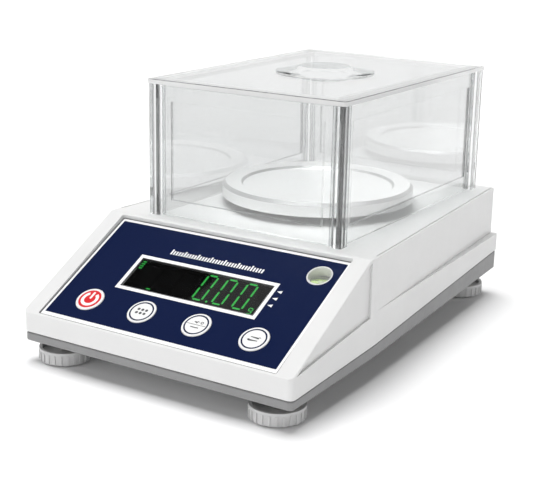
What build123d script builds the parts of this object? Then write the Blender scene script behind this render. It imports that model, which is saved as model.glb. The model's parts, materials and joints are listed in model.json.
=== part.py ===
from build123d import *

import os
from math import atan2, cos, radians, sin, tan

# Precision balance with a clear draught shield, in millimetres.
# Origin: on the bench, midway between the feet.  +X right, +Y to the rear, +Z up.
# The operator stands at -Y, facing the sloping key panel.

os.makedirs("parts", exist_ok=True)

# ---------------------------------------------------------------- driving dimensions
WIDTH = 200.0
DEPTH = 310.0
HALF_W = WIDTH / 2
HALF_D = DEPTH / 2
TRAY_FRONT = 14.0  # underside of the base tray, which climbs to the rear
TRAY_REAR = 19.5
SEAM_FRONT = 20.1  # the seam between tray and housing climbs faster
SEAM_REAR = 33.6
LIP_Z = 33.0  # top of the upright front lip
DECK_Z = 80.6  # flat top that the shield stands on
SLOPE_TOP_Y = -67.0  # where the sloping panel meets the deck
WALL = 2.8
PLATE = 5.0  # thickness of the sloping front plate
CORNER_R = 4.0
EDGE_R = 0.8

TAPER_START_Y = -58.0  # the side walls draw in from here to the rear
TAPER_IN = 15.0  # above the ledge, by the time they reach the rear wall
TAPER_LOW = 10.0  # below the ledge
LEDGE_Z = 46.1

PAN_Y = 37.5
PAN_R = 66.2
PAN_TOP = 95.8
PAN_SKIRT = 9.4
PAN_RING = 13.0
PAN_SHEET = 1.0
PAN_RIM = 2.2  # bevel between ring and skirt
STEM_R = 7.0
STEM_HOLE_R = 12.0
CELL_TRAVEL = 0.5
CELL_GAP = 0.7  # room for the pan carrier to sink as the load cell bends

SHIELD_HALF_W = 73.8
SHIELD_FRONT = -59.0
SHIELD_REAR = 146.0
POST = 9.0
PANE = 3.0
PANE_GAP = 0.1  # around each pane in its slots
LID_TOP = 171.6
LID_THICK = 3.0
LID_SEAT = 0.1
SHIELD_SEAT = 0.1  # under the posts and panes
KNOB_R = 34.0
KNOB_TOP_R = 17.5
KNOB_HEIGHT = 4.2
CEMENT = 0.1  # thickness of the cement under the knob

FOOT_FRONT_X = 80.0
FOOT_FRONT_Y = -138.0
FOOT_REAR_X = 69.0
FOOT_REAR_Y = 137.5
FOOT_R = 17.0
FOOT_TOP = 9.5
STUD_R = 3.0
THREAD_GAP = 0.08
RIBS = 24

KEY_X = [-61.9, -20.9, 20.1, 61.1]
KEY_S = 22.6  # distances S run up the panel from the lip
KEY_R = 9.4
KEY_GAP = 0.3
KEY_NAMES = ["key_power", "key_count", "key_tare", "key_unit"]
DISPLAY_X = 0.2
DISPLAY_S = 52.7
DISPLAY_W = 105.0
DISPLAY_H = 31.6
BEZEL = 2.4
LEVEL_X = 73.0
LEVEL_S = 81.6
LEVEL_R = 8.2

# The panel lies a little flatter than the slope round it, so its recess deepens to the rear.
PANEL_TILT = 1.1
PANEL_SINK = 0.8
RECESS_W = 176.6
RECESS_LOW = 1.7  # lower and upper ends of the recess along the panel
RECESS_HIGH = 98.0

# depths below the face of the panel
FILM = 0.8
KEY_POCKET = 1.8
BOARD_TOP = 8.2
BOARD = 1.6

slope_angle = atan2(DECK_Z - LIP_Z, SLOPE_TOP_Y + HALF_D)
slope_rise = tan(slope_angle)
panel_angle = slope_angle - radians(PANEL_TILT)
SLOPE_NORMAL = Axis((0, 0, 0), (0, -sin(slope_angle), cos(slope_angle)))
PANEL = Plane(
    origin=(0, -HALF_D + PANEL_SINK * sin(slope_angle), LIP_Z - PANEL_SINK * cos(slope_angle)),
    x_dir=(1, 0, 0),
    z_dir=(0, -sin(panel_angle), cos(panel_angle)),
)
PANEL_NORMAL = Axis((0, 0, 0), PANEL.z_dir)


def seam_z(y):
    """Height of the tray-to-housing seam at y."""
    return SEAM_FRONT + (y + HALF_D) * (SEAM_REAR - SEAM_FRONT) / DEPTH


def tray_z(y):
    """Height of the underside of the tray at y."""
    return TRAY_FRONT + (y + HALF_D) * (TRAY_REAR - TRAY_FRONT) / DEPTH


def save(piece, name):
    """Label a finished piece and write it as its own STEP file."""
    piece.part.label = name
    export_step(piece.part, f"parts/{name}.step")


def on_panel(x, s, depth=0.0):
    """A plane parallel to the panel, centred x, s along it and depth below its face."""
    return Plane(
        origin=PANEL.from_local_coords((x, s, -depth)),
        x_dir=PANEL.x_dir,
        z_dir=PANEL.z_dir,
    )


def side_wedges(inset, taper):
    """Corners of two wedges which, cut away, draw the sides in from inset by taper at the rear."""
    return [
        [
            (side * (HALF_W - inset), TAPER_START_Y),
            (side * (HALF_W + 1), TAPER_START_Y),
            (side * (HALF_W + 1), HALF_D),
            (side * (HALF_W - inset - taper), HALF_D),
        ]
        for side in (-1, 1)
    ]


# ---------------------------------------------------------------- fastening places
CELL_SCREWS_Y = (PAN_Y + 24.5, PAN_Y + 34.5)
BRIDGE_SCREWS_Y = (PAN_Y - 34.5, PAN_Y - 24.5)
STOP_Y = PAN_Y - 33.5
HOUSING_SCREWS = [(side * x, y) for side in (-1, 1) for x, y in ((87.5, -88.0), (87.5, 20.0), (80.0, 100.0))]
BOSS_R = 5.0
SCREW_R = 1.8
SCREW_HEAD_R = 3.4
FIT = 0.05  # radial clearance on screws, inserts and sockets
FEET = {
    "front_left": (-FOOT_FRONT_X, FOOT_FRONT_Y),
    "front_right": (FOOT_FRONT_X, FOOT_FRONT_Y),
    "rear_left": (-FOOT_REAR_X, FOOT_REAR_Y),
    "rear_right": (FOOT_REAR_X, FOOT_REAR_Y),
}
TRAY_FLOOR = TRAY_REAR + 2.5
INSERT = 9.0
INSERT_R = 4.6

PORT_Z = 55.2
SERIAL_X = -40.0
INLET_X = 40.0
SERIAL_W = 31.0
SERIAL_H = 12.6
SERIAL_MOUTH_W = 18.4
SERIAL_MOUTH_H = 9.8
INLET_R = 4.0

# ---------------------------------------------------------------- upper housing
# The hollow under the shell, with the screw bosses left standing in it.
plate_drop = PLATE / cos(slope_angle)
with BuildPart() as housing_hollow:
    with BuildSketch(Plane.YZ):
        with BuildLine():
            Polyline(
                (-HALF_D + WALL, 5),
                (-HALF_D + WALL, LIP_Z + WALL * slope_rise - plate_drop),
                (SLOPE_TOP_Y + (plate_drop - WALL) / slope_rise, DECK_Z - WALL),
                (HALF_D - WALL, DECK_Z - WALL),
                (HALF_D - WALL, 5),
                close=True,
            )
        make_face()
    extrude(amount=HALF_W - WALL, both=True)
    # It follows the side walls as they draw in, more so above the ledge.
    with BuildSketch(Plane.XY):
        for wedge in side_wedges(WALL, TAPER_LOW):
            Polygon(*wedge, align=None)
    extrude(amount=DECK_Z, mode=Mode.SUBTRACT)
    with BuildSketch(Plane.XY.offset(LEDGE_Z - WALL)):
        for wedge in side_wedges(WALL, TAPER_IN):
            Polygon(*wedge, align=None)
    extrude(amount=DECK_Z, mode=Mode.SUBTRACT)
    with BuildSketch(Plane.XY):
        with Locations(*HOUSING_SCREWS):
            Circle(BOSS_R)
    extrude(amount=100, mode=Mode.SUBTRACT)

with BuildPart() as upper_housing:
    with BuildSketch(Plane.YZ):
        with BuildLine():
            Polyline(
                (-HALF_D, SEAM_FRONT),
                (-HALF_D, LIP_Z),
                (SLOPE_TOP_Y, DECK_Z),
                (HALF_D, DECK_Z),
                (HALF_D, SEAM_REAR),
                close=True,
            )
        make_face()
    extrude(amount=HALF_W, both=True)
    with BuildSketch(Plane.XY):
        for wedge in side_wedges(0, TAPER_LOW):
            Polygon(*wedge, align=None)
    extrude(amount=DECK_Z, mode=Mode.SUBTRACT)
    with BuildSketch(Plane.XY.offset(LEDGE_Z)):
        for wedge in side_wedges(0, TAPER_IN):
            Polygon(*wedge, align=None)
    extrude(amount=DECK_Z, mode=Mode.SUBTRACT)
    upright = upper_housing.edges().filter_by(Axis.Z)
    fillet(upright.group_by(Axis.Y)[0], CORNER_R)
    fillet(upper_housing.edges().filter_by(Axis.Z).group_by(Axis.Y)[-1], CORNER_R / 2)
    # Rounded edges round the deck, the slope and the bottom of the shell.
    fillet(
        upper_housing.faces().sort_by(Axis.Z)[-1].edges()
        + upper_housing.faces().sort_by(SLOPE_NORMAL)[-1].edges(),
        EDGE_R,
    )
    fillet(upper_housing.faces().sort_by(Axis.Z)[0].edges(), EDGE_R / 2)
    add(housing_hollow.part, mode=Mode.SUBTRACT)
    # Shallow triangular pocket on each flank, below the edge of the slope.
    for side in (-1, 1):
        with BuildSketch(Plane.YZ.offset(side * HALF_W)):
            with BuildLine():
                Polyline(
                    (-HALF_D + 4.0, LIP_Z + 0.8),
                    (SLOPE_TOP_Y + 1.0, DECK_Z - 1.9),
                    (SLOPE_TOP_Y + 1.0, LEDGE_Z - 2.5),
                    close=True,
                )
            make_face()
        extrude(amount=-side * 1.5, mode=Mode.SUBTRACT)
    # Narrow groove along each edge of the deck.
    with BuildSketch(Plane.XY.offset(DECK_Z)):
        for side in (-1, 1):
            with BuildLine():
                Polyline(
                    (side * (HALF_W - 1.3), TAPER_START_Y),
                    (side * (HALF_W - 2.2), TAPER_START_Y),
                    (side * (HALF_W - TAPER_IN - 2.2), HALF_D - 2),
                    (side * (HALF_W - TAPER_IN - 1.3), HALF_D - 2),
                    close=True,
                )
            make_face()
    extrude(amount=-1.0, mode=Mode.SUBTRACT)
    # Collar that keeps spills out of the stem hole.
    with BuildSketch(Plane.XY.offset(DECK_Z)):
        with Locations((0, PAN_Y)):
            Circle(STEM_HOLE_R + 3)
    extrude(amount=1.5)
    with BuildSketch(Plane.XY.offset(DECK_Z + 1.5)):
        with Locations((0, PAN_Y)):
            Circle(STEM_HOLE_R)
    extrude(amount=-10, mode=Mode.SUBTRACT)
    # Recess for the printed panel, then the openings in its floor.
    with BuildSketch(PANEL.offset(-FILM)):
        with Locations((0, (RECESS_LOW + RECESS_HIGH) / 2)):
            RectangleRounded(RECESS_W, RECESS_HIGH - RECESS_LOW, 1.2)
    extrude(amount=10, mode=Mode.SUBTRACT)
    with BuildSketch(PANEL):
        with Locations((DISPLAY_X, DISPLAY_S)):
            Rectangle(DISPLAY_W - 2 * BEZEL - 2.4, DISPLAY_H - 2 * BEZEL - 2.4)
        with Locations((LEVEL_X, LEVEL_S)):
            Circle(LEVEL_R)
        with Locations(*[(x, KEY_S) for x in KEY_X]):
            Circle(3.2)
    extrude(amount=-PLATE - 2, mode=Mode.SUBTRACT)
    with BuildSketch(PANEL):
        with Locations(*[(x, KEY_S) for x in KEY_X]):
            Circle(KEY_R + KEY_GAP)
    extrude(amount=-KEY_POCKET, mode=Mode.SUBTRACT)
    # Posts under the slope that carry the display board.
    with BuildSketch(PANEL.offset(-BOARD_TOP)):
        with Locations((-70, 35), (-70, 66), (-41, 16), (41, 16)):
            Circle(3.0)
    extrude(amount=BOARD_TOP - 2.0)
    with BuildSketch(PANEL.offset(-BOARD_TOP)):
        with Locations((-70, 35), (-70, 66), (-41, 16), (41, 16)):
            Circle(1.2)
    extrude(amount=5, mode=Mode.SUBTRACT)
    # Pilot holes in the bosses, and the sockets' openings in the rear wall.
    for x, y in HOUSING_SCREWS:
        with BuildSketch(Plane.XY.offset(seam_z(y) - 2)):
            with Locations((x, y)):
                Circle(SCREW_R)
        extrude(amount=14, mode=Mode.SUBTRACT)
    with BuildSketch(Plane.XZ.offset(-HALF_D)):
        with Locations((INLET_X, PORT_Z)):
            Circle(INLET_R)
        with Locations((SERIAL_X, PORT_Z)):
            Rectangle(SERIAL_MOUTH_W, SERIAL_MOUTH_H)
    extrude(amount=WALL + 1, mode=Mode.SUBTRACT)
save(upper_housing, "upper_housing")

# ---------------------------------------------------------------- base tray
TRAY_IN = 0.5  # the tray sits back a little from the housing
GROOVE = 0.8  # height of the shadow groove just below the seam
GROOVE_IN = 1.2  # how far it runs in

with BuildPart() as tray_hollow:
    with BuildSketch(Plane.XY.offset(TRAY_FLOOR)):
        Rectangle(WIDTH - 2 * TRAY_IN - 2 * WALL, DEPTH - 2 * TRAY_IN - 2 * WALL)
        with Locations(*HOUSING_SCREWS):
            Circle(BOSS_R, mode=Mode.SUBTRACT)
        with Locations(*FEET.values()):
            Circle(INSERT_R + 2.2, mode=Mode.SUBTRACT)
    extrude(amount=40)
    with BuildSketch(Plane.XY):
        for wedge in side_wedges(TRAY_IN + WALL, TAPER_LOW):
            Polygon(*wedge, align=None)
    extrude(amount=DECK_Z, mode=Mode.SUBTRACT)


def tray_block(inset, below, above):
    """A solid block of the tray's shape, inset all round, from below its underside to above the seam."""
    rear = HALF_D - inset
    with BuildPart() as block:
        with BuildSketch(Plane.YZ):
            with BuildLine():
                Polyline(
                    (-rear, tray_z(-rear) - below),
                    (-rear, seam_z(-rear) + above),
                    (rear, seam_z(rear) + above),
                    (rear, tray_z(rear) - below),
                    close=True,
                )
            make_face()
        extrude(amount=HALF_W - inset, both=True)
        with BuildSketch(Plane.XY):
            for wedge in side_wedges(inset, TAPER_LOW):
                Polygon(*wedge, align=None)
        extrude(amount=DECK_Z, mode=Mode.SUBTRACT)
        fillet(block.edges().filter_by(Axis.Z).group_by(Axis.Y)[0], CORNER_R - inset)
    return block


# The rim inside the groove is what the housing stands on.
tray_body = tray_block(TRAY_IN, 0.0, -GROOVE)
tray_rim = tray_block(TRAY_IN + GROOVE_IN, -1.0, 0.0)

with BuildPart() as base_tray:
    add(tray_body.part)
    fillet(base_tray.edges().filter_by(Axis.Z).group_by(Axis.Y)[-1], CORNER_R / 2)
    fillet(base_tray.faces().sort_by(Axis.Z)[0].edges(), EDGE_R)
    add(tray_rim.part)
    add(tray_hollow.part, mode=Mode.SUBTRACT)
    # The foot bosses stop level with the top of their inserts.
    for x, y in FEET.values():
        with BuildSketch(Plane.XY.offset(tray_z(y) + INSERT)):
            with Locations((x, y)):
                Circle(INSERT_R + 2.4)
        extrude(amount=30, mode=Mode.SUBTRACT)
    with BuildSketch(Plane.XY):
        with Locations(*FEET.values()):
            Circle(INSERT_R + FIT)
        with Locations(*HOUSING_SCREWS):
            Circle(SCREW_R + 0.3)
        with Locations((0, STOP_Y)):
            Circle(SCREW_R)
        with Locations(*[(0, y) for y in CELL_SCREWS_Y]):
            Circle(2.0)
    extrude(amount=60, mode=Mode.SUBTRACT)
    for x, y in HOUSING_SCREWS:
        with BuildSketch(Plane.XY.offset(tray_z(y) + 2.6)):
            with Locations((x, y)):
                Circle(SCREW_HEAD_R)
        extrude(amount=-4, mode=Mode.SUBTRACT)
save(base_tray, "base_tray")

# Six self-tapping screws close the case from below.
with BuildPart() as housing_screws:
    for x, y in HOUSING_SCREWS:
        with BuildSketch(Plane.XY.offset(tray_z(y) + 0.4)):
            with Locations((x, y)):
                Circle(SCREW_HEAD_R - 0.1)
                SlotOverall(5.0, 1.0, mode=Mode.SUBTRACT)
        extrude(amount=1.0)
        with BuildSketch(Plane.XY.offset(tray_z(y) + 1.4)):
            with Locations((x, y)):
                Circle(SCREW_HEAD_R - 0.1)
        extrude(amount=1.2)
        with BuildSketch(Plane.XY.offset(tray_z(y) + 2.6)):
            with Locations((x, y)):
                Circle(SCREW_R - FIT)
        extrude(amount=seam_z(y) + 9 - tray_z(y))
save(housing_screws, "housing_screws")

# ---------------------------------------------------------------- printed panel and display
with BuildPart() as panel_overlay:
    with BuildSketch(PANEL.offset(-FILM)):
        with Locations((0, (RECESS_LOW + RECESS_HIGH) / 2)):
            RectangleRounded(RECESS_W - 0.8, RECESS_HIGH - RECESS_LOW - 0.8, 0.8)
        with Locations((DISPLAY_X, DISPLAY_S)):
            Rectangle(DISPLAY_W, DISPLAY_H, mode=Mode.SUBTRACT)
        with Locations((LEVEL_X, LEVEL_S)):
            Circle(LEVEL_R, mode=Mode.SUBTRACT)
        with Locations(*[(x, KEY_S) for x in KEY_X]):
            Circle(KEY_R + KEY_GAP, mode=Mode.SUBTRACT)
    extrude(amount=FILM)
save(panel_overlay, "panel_overlay")

with BuildPart() as display_bezel:
    with BuildSketch(on_panel(DISPLAY_X, DISPLAY_S, FILM)):
        Rectangle(DISPLAY_W, DISPLAY_H)
        Rectangle(DISPLAY_W - 2 * BEZEL, DISPLAY_H - 2 * BEZEL, mode=Mode.SUBTRACT)
    extrude(amount=FILM + 0.2)
save(display_bezel, "display_bezel")

with BuildPart() as display_window:
    with BuildSketch(on_panel(DISPLAY_X, DISPLAY_S, FILM)):
        Rectangle(DISPLAY_W - 2 * BEZEL, DISPLAY_H - 2 * BEZEL)
    extrude(amount=0.6)
save(display_window, "display_window")

DIGIT_COUNT = 6
with BuildPart() as display_module:
    with BuildSketch(on_panel(DISPLAY_X, DISPLAY_S, BOARD_TOP)):
        Rectangle(DISPLAY_W - 2 * BEZEL - 2.8, DISPLAY_H - 2 * BEZEL - 2.8)
    extrude(amount=BOARD_TOP - FILM - 0.2)
    # One shallow well for each digit.
    with BuildSketch(on_panel(DISPLAY_X, DISPLAY_S, FILM + 0.2)):
        with GridLocations(15.5, 0, DIGIT_COUNT, 1):
            Rectangle(13.5, 19.0)
    extrude(amount=-0.5, mode=Mode.SUBTRACT)
save(display_module, "display_module")

with BuildPart() as display_board:
    with BuildSketch(PANEL.offset(-BOARD_TOP - BOARD)):
        with BuildLine():
            Polyline((-74, 12), (72, 12), (72, 60), (58, 60), (58, 71), (-74, 71), close=True)
        make_face()
        with Locations((-70, 35), (-70, 66), (-41, 16), (41, 16)):
            Circle(1.3, mode=Mode.SUBTRACT)
    extrude(amount=BOARD)
save(display_board, "display_board")

with BuildPart() as display_board_screws:
    with BuildSketch(PANEL.offset(-BOARD_TOP - BOARD)):
        with Locations((-70, 35), (-70, 66), (-41, 16), (41, 16)):
            Circle(1.2 - FIT)
    extrude(amount=BOARD + 4)
    with BuildSketch(PANEL.offset(-BOARD_TOP - BOARD)):
        with Locations((-70, 35), (-70, 66), (-41, 16), (41, 16)):
            Circle(2.4)
    extrude(amount=-1.6)
save(display_board_screws, "display_board_screws")

# A tact switch under each key.
with BuildPart() as key_switches:
    with BuildSketch(PANEL.offset(-BOARD_TOP)):
        with Locations(*[(x, KEY_S) for x in KEY_X]):
            Rectangle(6.2, 6.2)
    extrude(amount=3.5)
    with BuildSketch(PANEL.offset(-BOARD_TOP + 3.5)):
        with Locations(*[(x, KEY_S) for x in KEY_X]):
            Circle(1.75)
    extrude(amount=0.4)
save(key_switches, "key_switches")

# Round keys: a domed cap in the panel and a plunger down to the switch.
KEY_PROUD = 0.4
KEY_UNDER = 1.2
PLUNGER_END = 3.8
for key_name, key_x in zip(KEY_NAMES, KEY_X):
    with BuildPart() as key:
        with BuildSketch(on_panel(key_x, KEY_S, KEY_UNDER)):
            Circle(KEY_R)
        extrude(amount=KEY_UNDER + KEY_PROUD)
        fillet(key.faces().sort_by(PANEL_NORMAL)[-1].edges(), 0.5)
        with BuildSketch(on_panel(key_x, KEY_S, KEY_UNDER)):
            Circle(2.5)
        extrude(amount=KEY_UNDER - PLUNGER_END)
    save(key, key_name)

# ---------------------------------------------------------------- bubble level
LEVEL_DEPTH = 4.0
SLEEVE_WALL = 0.8
VIAL_R = 6.9
VIAL_H = 6.4
VIAL_LENS = 0.9  # clear thickness above the fluid
level_centre = PANEL.from_local_coords((LEVEL_X, LEVEL_S, -LEVEL_DEPTH))
VIAL_TOP = level_centre.Z

with BuildPart() as level_bore:
    with BuildSketch(on_panel(LEVEL_X, LEVEL_S, -1)):
        Circle(LEVEL_R - SLEEVE_WALL)
    extrude(amount=-24)
    split(bisect_by=Plane.XY.offset(VIAL_TOP), keep=Keep.TOP)

with BuildPart() as level_sleeve:
    with BuildSketch(on_panel(LEVEL_X, LEVEL_S, -0.2)):
        Circle(LEVEL_R - FIT)
    extrude(amount=-24)
    split(bisect_by=Plane.XY.offset(VIAL_TOP), keep=Keep.TOP)
    with BuildSketch(Plane.XY.offset(VIAL_TOP + 0.8)):
        with Locations((LEVEL_X, level_centre.Y)):
            Circle(VIAL_R + 1.0)
    extrude(amount=-VIAL_H - 0.8)
    with BuildSketch(Plane.XY.offset(VIAL_TOP)):
        with Locations((LEVEL_X, level_centre.Y)):
            Circle(VIAL_R)
    extrude(amount=-VIAL_H, mode=Mode.SUBTRACT)
    add(level_bore.part, mode=Mode.SUBTRACT)
save(level_sleeve, "level_sleeve")

FLUID_R = 6.2
FLUID_H = 4.0
BUBBLE_R = 2.2
BUBBLE_H = 1.1
with BuildPart() as level_vial:
    with BuildSketch(Plane.XY.offset(VIAL_TOP - VIAL_H)):
        with Locations((LEVEL_X, level_centre.Y)):
            Circle(VIAL_R - FIT)
    extrude(amount=VIAL_H)
    with BuildSketch(Plane.XY.offset(VIAL_TOP - VIAL_LENS)):
        with Locations((LEVEL_X, level_centre.Y)):
            Circle(FLUID_R)
    extrude(amount=-FLUID_H, mode=Mode.SUBTRACT)
save(level_vial, "level_vial")

with BuildPart() as level_fluid:
    with BuildSketch(Plane.XY.offset(VIAL_TOP - VIAL_LENS)):
        with Locations((LEVEL_X, level_centre.Y)):
            Circle(FLUID_R)
    extrude(amount=-FLUID_H)
    with BuildSketch(Plane.XY.offset(VIAL_TOP - VIAL_LENS)):
        with Locations((LEVEL_X, level_centre.Y)):
            Circle(BUBBLE_R)
    extrude(amount=-BUBBLE_H, mode=Mode.SUBTRACT)
save(level_fluid, "level_fluid")

with BuildPart() as level_bubble:
    with BuildSketch(Plane.XY.offset(VIAL_TOP - VIAL_LENS)):
        with Locations((LEVEL_X, level_centre.Y)):
            Circle(BUBBLE_R)
    extrude(amount=-BUBBLE_H)
    fillet(level_bubble.faces().sort_by(Axis.Z)[0].edges(), 0.6)
save(level_bubble, "level_bubble")

# ---------------------------------------------------------------- weighing mechanism
CELL = 12.7
CELL_LENGTH = 80.0
CELL_FRONT = PAN_Y - CELL_LENGTH / 2
CELL_Z = TRAY_FLOOR + 6.0
CELL_TOP = CELL_Z + CELL

# Aluminium block that lifts the fixed end of the load cell off the tray.
with BuildPart() as load_cell_block:
    with BuildSketch(Plane.XY.offset(TRAY_FLOOR)):
        with Locations((0, sum(CELL_SCREWS_Y) / 2)):
            Rectangle(24, 21)
        with Locations(*[(0, y) for y in CELL_SCREWS_Y]):
            Circle(2.0, mode=Mode.SUBTRACT)
    extrude(amount=CELL_Z - TRAY_FLOOR)
save(load_cell_block, "load_cell_block")

# Bending-beam load cell, thinned by two joined bores so that it bends as a parallelogram.
with BuildPart() as load_cell:
    with BuildSketch(Plane.YZ):
        with Locations((PAN_Y, CELL_Z + CELL / 2)):
            Rectangle(CELL_LENGTH, CELL)
            with Locations((-10, 0), (10, 0)):
                Circle(5.2, mode=Mode.SUBTRACT)
            Rectangle(20, 3.0, mode=Mode.SUBTRACT)
    extrude(amount=CELL / 2, both=True)
    with BuildSketch(Plane.XY.offset(CELL_Z)):
        with Locations(*[(0, y) for y in CELL_SCREWS_Y]):
            Circle(1.9)
        with Locations(*[(0, y) for y in BRIDGE_SCREWS_Y]):
            Circle(2.5)
    extrude(amount=CELL, mode=Mode.SUBTRACT)
save(load_cell, "load_cell")

with BuildPart() as load_cell_screws:
    with BuildSketch(Plane.XY.offset(TRAY_FLOOR - 3)):
        with Locations(*[(0, y) for y in CELL_SCREWS_Y]):
            Circle(1.9 - FIT)
    extrude(amount=CELL_TOP - TRAY_FLOOR + 1)
save(load_cell_screws, "load_cell_screws")

# Stop screw under the free end, which takes an overload off the cell.
with BuildPart() as overload_stop:
    with BuildSketch(Plane.XY.offset(TRAY_FLOOR + 0.1)):
        with Locations((0, STOP_Y)):
            Circle(SCREW_R - FIT)
    extrude(amount=-3)
    with BuildSketch(Plane.XY.offset(TRAY_FLOOR + 0.1)):
        with Locations((0, STOP_Y)):
            RegularPolygon(5.0, 6)
    extrude(amount=CELL_Z - 0.7 - TRAY_FLOOR)
save(overload_stop, "overload_stop")

# Bridge from the free end of the cell back to the middle, under the pan.
BRIDGE_Z = CELL_TOP + CELL_GAP
BRIDGE = 4.0
with BuildPart() as pan_bridge:
    with BuildSketch(Plane.XY.offset(BRIDGE_Z)):
        with Locations((0, (CELL_FRONT + PAN_Y + 10) / 2)):
            RectangleRounded(24, PAN_Y + 10 - CELL_FRONT, 3)
        with Locations(*[(0, y) for y in BRIDGE_SCREWS_Y]):
            Circle(2.0, mode=Mode.SUBTRACT)
    extrude(amount=BRIDGE)
save(pan_bridge, "pan_bridge")

with BuildPart() as bridge_screws:
    for y in BRIDGE_SCREWS_Y:
        with BuildSketch(Plane.XY.offset(CELL_Z + 3)):
            with Locations((0, y)):
                Circle(1.9)
        extrude(amount=BRIDGE_Z + BRIDGE - CELL_Z - 3)
        with BuildSketch(Plane.XY.offset(BRIDGE_Z + BRIDGE)):
            with Locations((0, y)):
                Circle(3.5)
                RegularPolygon(1.6, 6, mode=Mode.SUBTRACT)
        extrude(amount=2.6)
save(bridge_screws, "bridge_screws")

PAN_FLOOR = PAN_TOP - 2.4
CUSHION_TOP = PAN_FLOOR - PAN_SHEET
SUPPORT_TOP = CUSHION_TOP - 1.5
SUPPORT = 2.4
SPIGOT_R = 6.0
ARM_LENGTH = 42.0
ARM_WIDTH = 13.0
CUSHION_SPREAD = 36.0
with BuildPart() as pan_stem:
    with BuildSketch(Plane.XY.offset(BRIDGE_Z + BRIDGE)):
        with Locations((0, PAN_Y)):
            Circle(STEM_R)
    extrude(amount=SUPPORT_TOP - SUPPORT - BRIDGE_Z - BRIDGE)
save(pan_stem, "pan_stem")

# Three-armed support that the pan sits on.
with BuildPart() as pan_support:
    with BuildSketch(Plane.XY.offset(SUPPORT_TOP - SUPPORT)):
        with Locations((0, PAN_Y)):
            Circle(15)
            with PolarLocations(ARM_LENGTH / 2, 3, start_angle=90):
                Rectangle(ARM_LENGTH, ARM_WIDTH)
            with PolarLocations(ARM_LENGTH, 3, start_angle=90):
                Circle(ARM_WIDTH / 2)
    extrude(amount=SUPPORT)
    with BuildSketch(Plane.XY.offset(SUPPORT_TOP)):
        with Locations((0, PAN_Y)):
            Circle(SPIGOT_R)
    extrude(amount=CUSHION_TOP - SUPPORT_TOP - 0.3)
save(pan_support, "pan_support")

with BuildPart() as pan_cushions:
    with BuildSketch(Plane.XY.offset(SUPPORT_TOP)):
        with Locations((0, PAN_Y)):
            with PolarLocations(CUSHION_SPREAD, 3, start_angle=90):
                Circle(4.5)
    extrude(amount=CUSHION_TOP - SUPPORT_TOP)
save(pan_cushions, "pan_cushions")

# Spun steel pan: turned-down skirt, broad sloping ring, recessed floor.
with BuildPart() as weighing_pan:
    with BuildSketch(Plane.XZ.offset(-PAN_Y)):
        ring_in = PAN_R - PAN_RING
        with BuildLine():
            Polyline(
                (0, PAN_FLOOR),
                (ring_in - 1.6, PAN_FLOOR),
                (ring_in, PAN_TOP - 0.9),
                (PAN_R - PAN_RIM, PAN_TOP),
                (PAN_R, PAN_TOP - PAN_RIM),
                (PAN_R, PAN_TOP - PAN_SKIRT),
                (PAN_R - PAN_SHEET, PAN_TOP - PAN_SKIRT),
                (PAN_R - PAN_SHEET, PAN_TOP - PAN_RIM - 0.4),
                (PAN_R - PAN_RIM - 0.4, PAN_TOP - PAN_SHEET),
                (ring_in, PAN_TOP - PAN_SHEET - 0.9),
                (ring_in - 1.0, PAN_FLOOR - PAN_SHEET),
                (0, PAN_FLOOR - PAN_SHEET),
                close=True,
            )
        make_face()
    revolve(axis=Axis((0, PAN_Y, 0), (0, 0, 1)))
    # Locating ring under the floor, round the spigot of the support.
    with BuildSketch(Plane.XY.offset(PAN_FLOOR - PAN_SHEET)):
        with Locations((0, PAN_Y)):
            Circle(SPIGOT_R + 2.0)
            Circle(SPIGOT_R + 0.3, mode=Mode.SUBTRACT)
    extrude(amount=SUPPORT_TOP + 0.3 - CUSHION_TOP)
save(weighing_pan, "weighing_pan")

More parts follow.
